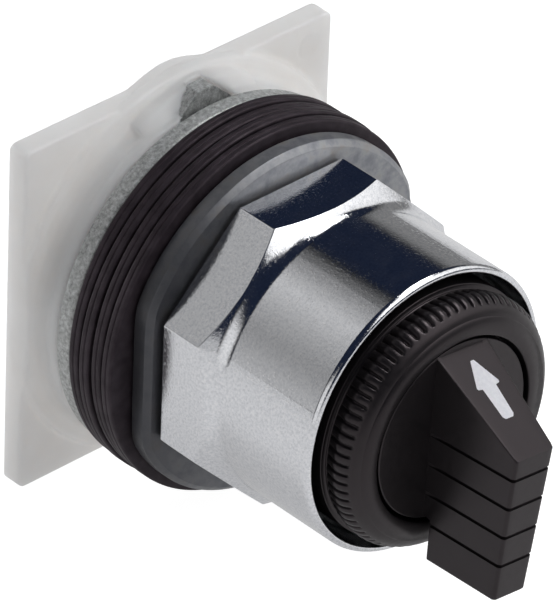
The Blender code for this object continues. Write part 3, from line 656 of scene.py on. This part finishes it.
def insert_mesh(node):
    """A turned bush with a countersunk bore."""
    rear, front = stations(node)
    bore_r, outer_r, sink = 1.25, 1.9, 0.25
    outline = [(bore_r, front), (outer_r, front, 0.15), (outer_r, rear, 0.15), (bore_r + sink, rear),
               (bore_r, rear + sink)]
    return lathe(node, outline, 48, radius=0.05, centre=middle(node))


def cam_screw_mesh():
    """A domed screw with a cross recess."""
    rear, front = stations("cam_screw")
    shank_r, head_r, head_front, long, wide = 1.4, 2.9, rear + 1.6, 1.6, 0.28
    outline = [(0, front, 0), (1.0, front), (shank_r, front - 0.4), (shank_r, head_front),
               (head_r, head_front), (head_r, rear + 0.1, 0.7), (0, rear, 0)]
    cross = [prism("bar", [box(-x, x, -z, z)], rear - 1, rear + 0.8) for x, z in ((long, wide), (wide, long))]
    return combined(lathe("cam_screw", outline, 64, radius=0.08), *[("DIFFERENCE", bar) for bar in cross])


# ---------------------------------------------------------------- pieces in front of the panel

def washer_mesh():
    """A washer with a flat each side; its front bevel follows the whole outline."""
    rear, front = stations("trim_washer")
    inner, bevel, blend = BORE_R + 0.1, 0.6, 70
    outline = soften([(inner, front, 0.1), (WASHER_R - bevel, front, 0.12), (WASHER_R, front - bevel, 0.12),
                      (WASHER_R, rear, 0.15), (inner, rear, 0.1)], 0.1)
    angles = np.arange(360) * TAU / 360
    inset = WASHER_R - outline[:, :1]
    flat = (WASHER_FLAT - inset) / np.maximum(np.abs(np.cos(angles)), 0.05)
    round_ = WASHER_R - inset + 0 * angles
    radii = (flat ** -blend + round_ ** -blend) ** (-1 / blend)
    near_bore = outline[:, :1] < inner + 0.6
    radii = np.where(near_bore, round_, radii)
    return grid_mesh("washer", ring_points(radii, angles, outline[:, 1:]))


def octagon(apothem, corner, count=22):
    """Angles and radii round an octagon with rounded corners, the first facet centred on +X."""
    half = TAU / 16
    run = apothem * math.tan(half) - corner * math.tan(half)
    flat = [(math.atan2(t, apothem), math.hypot(t, apothem)) for t in np.linspace(-run, run, count)]
    centre = (apothem - corner) / math.cos(half)
    turns = [k / 6 * 2 * half for k in range(1, 6)]
    cx, cz = centre * math.cos(half), centre * math.sin(half)
    bend = [(cx + corner * math.cos(t), cz + corner * math.sin(t)) for t in turns]
    bend = [(math.atan2(z, x), math.hypot(x, z)) for x, z in bend]
    points = [(a + k * 2 * half, r) for k in range(8) for a, r in flat + bend]
    return np.array([p[0] for p in points]), np.array([p[1] for p in points])


def nut_mesh():
    """The octagonal nut: a cone turned over its corners, a root fillet and a rolled barrel rim."""
    angles, faces = octagon(NUT_APOTHEM, 0.3)
    columns = []
    for face in faces:
        corner = CONE_AT_FLAT - CONE_SLOPE * (face - NUT_APOTHEM)
        outline = [(BORE_R, NUT_FRONT - 0.12, 0)]
        outline += arc(NUT_BARREL_R - NUT_RIM_RADIUS, NUT_FRONT - NUT_RIM_RADIUS, NUT_RIM_RADIUS, 90, 0, 8)
        outline += arc(NUT_BARREL_R + NUT_ROOT_RADIUS, NUT_ROOT, NUT_ROOT_RADIUS, 180, 231, 10)
        outline += [(face, corner, 0.14), (face, NUT_REAR + 0.35, 0.12), (face - 0.35, NUT_REAR, 0.12),
                    (BORE_R, NUT_REAR, 0.1)]
        columns.append(soften(outline, 0.1, 5))
    grid = np.stack(columns, axis=1)
    return grid_mesh("nut", ring_points(grid[..., 0], angles, grid[..., 1]))


def bezel_mesh():
    """The knob's ring: plain skirt, broad ribs with narrow grooves between, a shoulder and a flat face."""
    rise = np.linspace(0, SHOULDER_END, 44)
    shoulder = np.stack([BEZEL_R - SHOULDER_RADIUS * (1 - np.cos(rise)),
                         BEZEL_FRONT - SHOULDER_RADIUS * (1 - np.sin(rise))], 1)
    up_waist = np.arange(BEZEL_STEP + 0.1, shoulder[0, 1] - 0.03, 0.05)
    waist = np.stack([BEZEL_WAIST_R + (BEZEL_R - BEZEL_WAIST_R)
                      * smooth_step(BEZEL_STEP + 0.4, shoulder[0, 1], up_waist), up_waist], 1)
    inside = soften([(BEZEL_BORE_R, BEZEL_REAR), (BEZEL_BORE_R, BEZEL_LIP), (BEZEL_HOLE_R, BEZEL_LIP),
                     (BEZEL_HOLE_R, BEZEL_FRONT, 0.2), (BEZEL_FACE_R, BEZEL_FRONT - 0.005, 0)], 0.1, 4)
    skirt = soften([(BEZEL_WAIST_R - 0.25, BEZEL_STEP + 0.06, 0), (BEZEL_WAIST_R - 0.25, BEZEL_STEP, 0),
                    (BEZEL_SKIRT_R, BEZEL_STEP, 0.12), (BEZEL_SKIRT_R, BEZEL_REAR, 0.15),
                    (BEZEL_BORE_R + 0.1, BEZEL_REAR, 0)], 0.1, 4)
    inside = inside[5:]
    profile = np.vstack([inside, shoulder[::-1], waist[::-1], skirt])
    outer = np.zeros(len(profile), bool)
    outer[len(inside):len(inside) + len(shoulder) + len(waist)] = True
    tangent = np.gradient(profile, axis=0)
    tangent /= np.maximum(np.hypot(*tangent.T), 1e-9)[:, None]
    station = profile[:, 1]
    rib = smooth_step(BEZEL_STEP + 0.22, BEZEL_STEP + 0.42, station)
    groove = outer * smooth_step(RIDGE_FADE[1], RIDGE_FADE[0], station)
    angles = np.arange(RIDGES * RIDGE_COLUMNS) * TAU / (RIDGES * RIDGE_COLUMNS)
    across = np.abs((angles * RIDGES / TAU + 0.5) % 1 - 0.5)
    crest = smooth_step(0.05, 0.20, across) * (0.86 - 0.14 * np.cos(TAU * across))
    depth = RIDGE_DEPTH * groove[:, None] * (1 - rib[:, None] * crest[None, :])
    radii = profile[:, :1] - depth * np.abs(tangent[:, 1:])
    stations_ = profile[:, 1:] - depth * np.abs(tangent[:, :1])
    return grid_mesh("bezel", ring_points(radii, angles, stations_))


def lever_sides(up, station):
    """The lever's left and right sides at a height and a station."""
    forward = station - LEVER_ROOT
    half = LEVER_HALF + (LEVER_FLARE - LEVER_UNFLARE * forward) * up - LEVER_TAPER * forward
    return LEVER_SKEW * forward - half, LEVER_SKEW * forward + half


def lever_front(up):
    """The station of the lever's front at a height: the arrow's slope above the peak, a shallow one below."""
    if up > LEVER_PEAK:
        climb = (up - LEVER_PEAK) / (LEVER_TOP - LEVER_PEAK)
        return LEVER_TIP + climb * (SLOPE_FRONT - LEVER_TIP)
    fall = (LEVER_PEAK - up) / (LEVER_PEAK - LEVER_BOTTOM)
    return LEVER_TIP + fall * (LEVER_FOOT - LEVER_TIP)


def lever_section(up, inset, corner):
    """A cross-section of the lever, with its two front corners rounded, as points in the frame."""
    front = lever_front(up) - inset
    rear = LEVER_BACK if up < -DISC_R + 0.6 else DISC_FRONT - 0.6
    corner = min(corner, (front - rear) * 0.45)
    left, right = [], []
    for station in np.linspace(rear, front - corner, 12):
        fade = min(1.0, max(0.0, (station - DISC_FRONT - 0.2) / 0.8))
        edges = lever_sides(up, station)
        left.append((edges[0] + inset * fade, station))
        right.append((edges[1] - inset * fade, station))
    for k in range(1, 7):
        turn = TAU / 4 * k / 6
        along = front - corner + corner * math.sin(turn)
        left.append((left[11][0] + corner * (1 - math.cos(turn)), along))
        right.append((right[11][0] - corner * (1 - math.cos(turn)), along))
    face = [(right[-1][0] + (left[-1][0] - right[-1][0]) * k / 8, front) for k in range(1, 8)]
    return [Vector((x, -s, up)) * MM for x, s in right + face + left[::-1]]


def lever_mesh():
    """The finger lever: a sloping arrow face above, four grooves below, and softened edges."""
    heights = {}
    for up in np.linspace(LEVER_PEAK, LEVER_TOP, 26):
        heights[up] = (0.0, ARROW_CORNER)
    for up in np.linspace(LEVER_BOTTOM, LEVER_PEAK, 60):
        heights[up] = (0.0, LEVER_CORNER)
    for groove in GROOVES:
        for key in [h for h in heights if abs(h - groove) < GROOVE_HALF + 0.1]:
            del heights[key]
        for k in range(-6, 7):
            heights[groove + GROOVE_HALF * k / 6] = (GROOVE_DEPTH * (1 - (abs(k) / 6) ** 4), LEVER_CORNER)
        for edge in (-1, 1):
            heights[groove + edge * (GROOVE_HALF + 0.03)] = (0.0, LEVER_CORNER)
            heights[groove + edge * (GROOVE_HALF + 0.09)] = (0.0, LEVER_CORNER)
    edge = 0.4
    for k in range(7):
        turn = TAU / 4 * k / 6
        heights[LEVER_BOTTOM + edge * (1 - math.sin(turn))] = (edge * (1 - math.cos(turn)), LEVER_CORNER)
    mesh = skinned("lever", [lever_section(up, *heights[up]) for up in sorted(heights)])
    mesh.transform(Matrix.Rotation(KNOB_LEAN, 4, "Y"))
    return mesh


def knob_mesh():
    """The dial disc with its flange, its hub and the lever."""
    outline = [(0, DISC_FRONT, 0), (DISC_R, DISC_FRONT, 0.18), (DISC_R, KNOB_FLANGE_FRONT),
               (KNOB_FLANGE_R, KNOB_FLANGE_FRONT), (KNOB_FLANGE_R, KNOB_FLANGE_REAR),
               (KNOB_HUB_R, KNOB_FLANGE_REAR), (KNOB_HUB_R, KNOB_REAR), (SOCKET_R, KNOB_REAR),
               (SOCKET_R, SOCKET_END), (0, SOCKET_END, 0)]
    disc = lathe("knob", outline, 192, radius=0.12, steps=3)
    return combined(disc, ("UNION", lever_mesh()))


def arrow_mesh():
    """The white arrow, let in flush with the lever's slope."""
    tip, barb, notch, tail, aside = 1.6, 4.5, 4.8, 8.5, 0.16
    half = [(0.22, -tip), (1.5, -barb), (1.42, -barb - 0.22), (0.9, -notch), (0.74, -tail + 0.3),
            (0.5, -tail)]
    outline = [(aside - x, y) for x, y in half] + [(aside + x, y) for x, y in half[::-1]]
    outline = rounded(outline, 0.12, 3)
    mesh = prism("arrow", [outline], -0.3, 0.02)
    rise = LEVER_TIP - SLOPE_FRONT
    lean = math.atan2(rise, LEVER_TOP - LEVER_PEAK)
    place = (Matrix.Rotation(KNOB_LEAN, 4, "Y")
             @ Matrix.Translation(Vector((0, -SLOPE_FRONT, LEVER_TOP)) * MM)
             @ Matrix.Rotation(-lean, 4, "X"))
    mesh.transform(place)
    return mesh


def make_pieces(finishes):
    def add(name, mesh, body, node, slot, sharp=None):
        piece(name, mesh, body, node, finishes[slot], sharp)

    add("plate_moulding", plate_mesh(), BODY, "back_plate", "milky_plastic")
    add("housing_casting", housing_mesh(), BODY, "operator_housing", "zinc", 40)
    for i, node in enumerate(GASKETS):
        add("rubber_" + node, gasket_mesh(node, i), BODY, node, "black_rubber")
    add("bevelled_washer", washer_mesh(), BODY, "trim_washer", "grey_washer")
    add("chromed_nut", nut_mesh(), BODY, "ring_nut", "chrome")
    add("ribbed_bezel", bezel_mesh(), BODY, "bezel_ring", "black_plastic")
    add("lever_knob", knob_mesh(), ROTOR, "knob", "black_plastic", 50)
    add("lever_arrow", arrow_mesh(), ROTOR, "arrow_insert", "white_plastic", 40)
    add("retainer", retainer_mesh(), BODY, "retainer_plate", "steel")
    for i, node in enumerate(SCREWS):
        turn = math.radians(25 + 40 * i)
        add("slotted_screw_%d" % (i + 1), screw_mesh(node, turn), BODY, node, "steel", 40)
    for node in ("block_insert_upper", "block_insert_lower"):
        add("turned_" + node, insert_mesh(node), BODY, node, "brass", 40)
    add("cross_cam_screw", cam_screw_mesh(), ROTOR, "cam_screw", "steel", 40)
    for side in ("left", "right"):
        add("moulded_plunger_" + side, plunger_mesh("plunger_" + side), side + "_plunger", "plunger_" + side,
            "natural_nylon")
        make_return_spring(side, finishes["spring_steel"])


def make_return_spring(side, material):
    """A return spring of the CAD's shape."""
    node, plunger = "return_spring_" + side, side + "_plunger"
    cad_spring = frame["nodes"][node]
    mesh = cad_spring.data.copy()
    mesh.transform(cad_spring.matrix_world)
    mesh.materials.clear()
    mesh.materials.append(material)
    spring = bpy.data.objects.new("coiled_" + node, mesh)
    bpy.context.scene.collection.objects.link(spring)
    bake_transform(spring)
    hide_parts(node)


def finish_cad_nodes(finishes):
    """Gives the CAD nodes that stay their slot's finish."""
    slots = {part["node"]: part["material_slot"] for part in frame["record"]["subparts"]}
    for node, obj in frame["nodes"].items():
        for i in range(len(obj.material_slots)):
            obj.material_slots[i].material = finishes[slots[node]]


# ---------------------------------------------------------------- studio

WHITE, ROOM = (1, 1, 1, 1), (0.010, 0.015, 0.032, 1)
FLOOR_HALF, FLOOR_GAP, LIGHT_DISTANCE = 2.0, 0.0002, 0.6


def emitter(name, strength):
    """A light's surface; each point's own fade dims it, so that lights end softly."""
    material = bpy.data.materials.new(name)
    material.use_nodes = True
    tree = material.node_tree
    shader = tree.nodes["Principled BSDF"]
    shader.inputs["Base Color"].default_value = (0, 0, 0, 1)
    shader.inputs["Specular IOR Level"].default_value = 0
    shader.inputs["Emission Color"].default_value = WHITE
    fade = tree.nodes.new("ShaderNodeAttribute")
    fade.attribute_name = "fade"
    scale = tree.nodes.new("ShaderNodeMath")
    scale.operation = "MULTIPLY"
    scale.inputs[1].default_value = strength
    tree.links.new(fade.outputs["Fac"], scale.inputs[0])
    tree.links.new(scale.outputs["Value"], shader.inputs["Emission Strength"])
    return material


def light_sheet(name, place_at, strength, columns, rows, level_at):
    """A glowing sheet over u and v from 0 to 1, brighter or dimmer by level_at. The camera doesn't see it."""
    mesh = bpy.data.meshes.new(name)
    places = [(u, v) for v in np.linspace(0, 1, rows) for u in np.linspace(0, 1, columns)]
    faces = [(r * columns + c, r * columns + c + 1, (r + 1) * columns + c + 1, (r + 1) * columns + c)
             for r in range(rows - 1) for c in range(columns - 1)]
    mesh.from_pydata([place_at(u, v) for u, v in places], [], faces)
    fade = mesh.attributes.new("fade", "FLOAT", "POINT")
    for i, (u, v) in enumerate(places):
        fade.data[i].value = float(level_at(u, v))
    mesh.materials.append(emitter(name, strength))
    obj = bpy.data.objects.new(name, mesh)
    bpy.context.scene.collection.objects.link(obj)
    obj.visible_camera = False


def edge_fade(value, soft):
    return smooth_step(0, soft, value) * smooth_step(0, soft, 1 - value)


def panel(name, direction, distance, width, height, strength, soft=0.25):
    """A flat light panel, level along its width, that faces the switch from a direction."""
    away = Vector(direction).normalized()
    level = Vector((0, 0, 1)).cross(away).normalized()
    upright = away.cross(level)

    def place_at(u, v):
        return away * distance + level * (u - 0.5) * width + upright * (v - 0.5) * height

    light_sheet(name, place_at, strength, 13, 9, lambda u, v: edge_fade(u, soft) * edge_fade(v, soft))


def spread(name, corners, distance, strength, stops, soft):
    """A light sheet stretched between four directions: low left, low right, high right, high left.
    stops are (u, level) pairs across it."""
    low_left, low_right, high_right, high_left = [Vector(c).normalized() * distance for c in corners]

    def place_at(u, v):
        return low_left.lerp(low_right, u).lerp(high_left.lerp(high_right, u), v)

    light_sheet(name, place_at, strength, 25, 13,
                lambda u, v: np.interp(u, *zip(*stops)) * edge_fade(v, soft))


def arch(name, radius, near, far, strength, stops, soft):
    """A light bent round the switch's axis. stops are (angle, level) pairs, in degrees counted from
    straight up towards the left."""
    start, end = stops[0][0], stops[-1][0]

    def place_at(u, v):
        a = math.radians(start + (end - start) * u)
        return Vector((-radius * math.sin(a), near + (far - near) * v, radius * math.cos(a)))

    light_sheet(name, place_at, strength, 55, 7,
                lambda u, v: np.interp(start + (end - start) * u, *zip(*stops)) * edge_fade(v, soft))


def make_world():
    """White where the camera sees it, and a dim blue-grey room to everything else."""
    world = bpy.data.worlds.new("studio")
    bpy.context.scene.world = world
    world.use_nodes = True
    tree = world.node_tree
    background = tree.nodes["Background"]
    seen = tree.nodes.new("ShaderNodeBackground")
    seen.inputs["Color"].default_value = WHITE
    background.inputs["Color"].default_value = ROOM
    path = tree.nodes.new("ShaderNodeLightPath")
    choose = tree.nodes.new("ShaderNodeMixShader")
    tree.links.new(path.outputs["Is Camera Ray"], choose.inputs["Fac"])
    tree.links.new(background.outputs["Background"], choose.inputs[1])
    tree.links.new(seen.outputs["Background"], choose.inputs[2])
    tree.links.new(choose.outputs["Shader"], tree.nodes["World Output"].inputs["Surface"])


def make_floor():
    """A plain pale floor, which looks nearly white to the camera."""
    mesh = bpy.data.meshes.new("floor")
    mesh.from_pydata([(x * FLOOR_HALF, y * FLOOR_HALF, 0) for x, y in ((-1, -1), (1, -1), (1, 1), (-1, 1))],
                     [], [(0, 1, 2, 3)])
    floor = bpy.data.objects.new("floor", mesh)
    bpy.context.scene.collection.objects.link(floor)
    floor.location.z = cad_bounds[0].z - FLOOR_GAP
    pale = Finish("pale_floor", (0.42, 0.42, 0.42), 0.6, specular_ior_level=0.1, emission_color=WHITE)
    glow = pale.tree.nodes.new("ShaderNodeMapRange")
    glow.inputs["To Min"].default_value, glow.inputs["To Max"].default_value = 0.40, 0.95
    path = pale.tree.nodes.new("ShaderNodeLightPath")
    pale.tree.links.new(path.outputs["Is Camera Ray"], glow.inputs["Value"])
    pale.set("Emission Strength", glow.outputs["Result"])
    mesh.materials.append(pale.material)


def make_lights():
    """A key light over the front right, an arch behind, and weaker panels round the switch."""
    corners = [(-0.07, -0.91, 0.36), (0.98, -0.20, -0.03), (0.90, 0.02, 0.55), (-0.12, -0.44, 0.88)]
    levels = [(0, 0), (0.07, 0.7), (0.35, 1), (0.6, 0.6), (0.85, 0.5), (1, 0.45)]
    spread("key_sheet", corners, LIGHT_DISTANCE, 1.8, levels, 0.12)
    levels = [(-12, 0), (8, 0.6), (24, 1.0), (45, 0.68), (62, 0.5), (74, 0.62), (96, 0.9)]
    arch("rear_left_arch", 0.565, 0.25, 0.62, 0.6, levels, 0.15)
    panel("top_panel", (0.40, -0.12, 0.90), LIGHT_DISTANCE, 0.44, 0.28, 8.0)
    panel("back_panel", (-0.20, 0.97, 0.10), LIGHT_DISTANCE, 0.66, 0.24, 5.0)
    panel("left_panel", (-0.95, -0.28, 0.12), LIGHT_DISTANCE, 0.9, 0.6, 0.75)
    panel("right_wall", (0.92, 0.30, 0.10), 0.7, 1.0, 0.5, 0.22, 0.2)


def make_camera():
    """The camera stands to the left of the switch's front and above it, with a long lens."""
    azimuth, elevation, roll = math.radians(-44.045), math.radians(34.645), math.radians(2.375)
    distance, aside, above, forward = 813.885, -0.183, 1.640, 2.1
    back = Vector((math.sin(azimuth) * math.cos(elevation), -math.cos(azimuth) * math.cos(elevation),
                   math.sin(elevation)))
    level = Vector((math.cos(azimuth), math.sin(azimuth), 0))
    upright = back.cross(level)
    right = math.cos(roll) * level + math.sin(roll) * upright
    up = math.cos(roll) * upright - math.sin(roll) * level
    camera = bpy.data.objects.new("camera", bpy.data.cameras.new("camera"))
    bpy.context.scene.collection.objects.link(camera)
    camera.data.sensor_width = 36
    camera.data.lens = 485.05
    camera.data.clip_start, camera.data.clip_end = 0.05, 10
    place = (back * distance + right * aside + up * above - Vector((0, forward, 0))) * MM
    turn = Matrix((right, up, back)).transposed().to_4x4()
    camera.matrix_world = Matrix.Translation(place) @ turn
    bpy.context.scene.camera = camera


finishes = make_finishes()
make_pieces(finishes)
finish_cad_nodes(finishes)
make_world()
make_floor()
make_lights()
make_camera()
bpy.context.scene.view_settings.view_transform = "Standard"
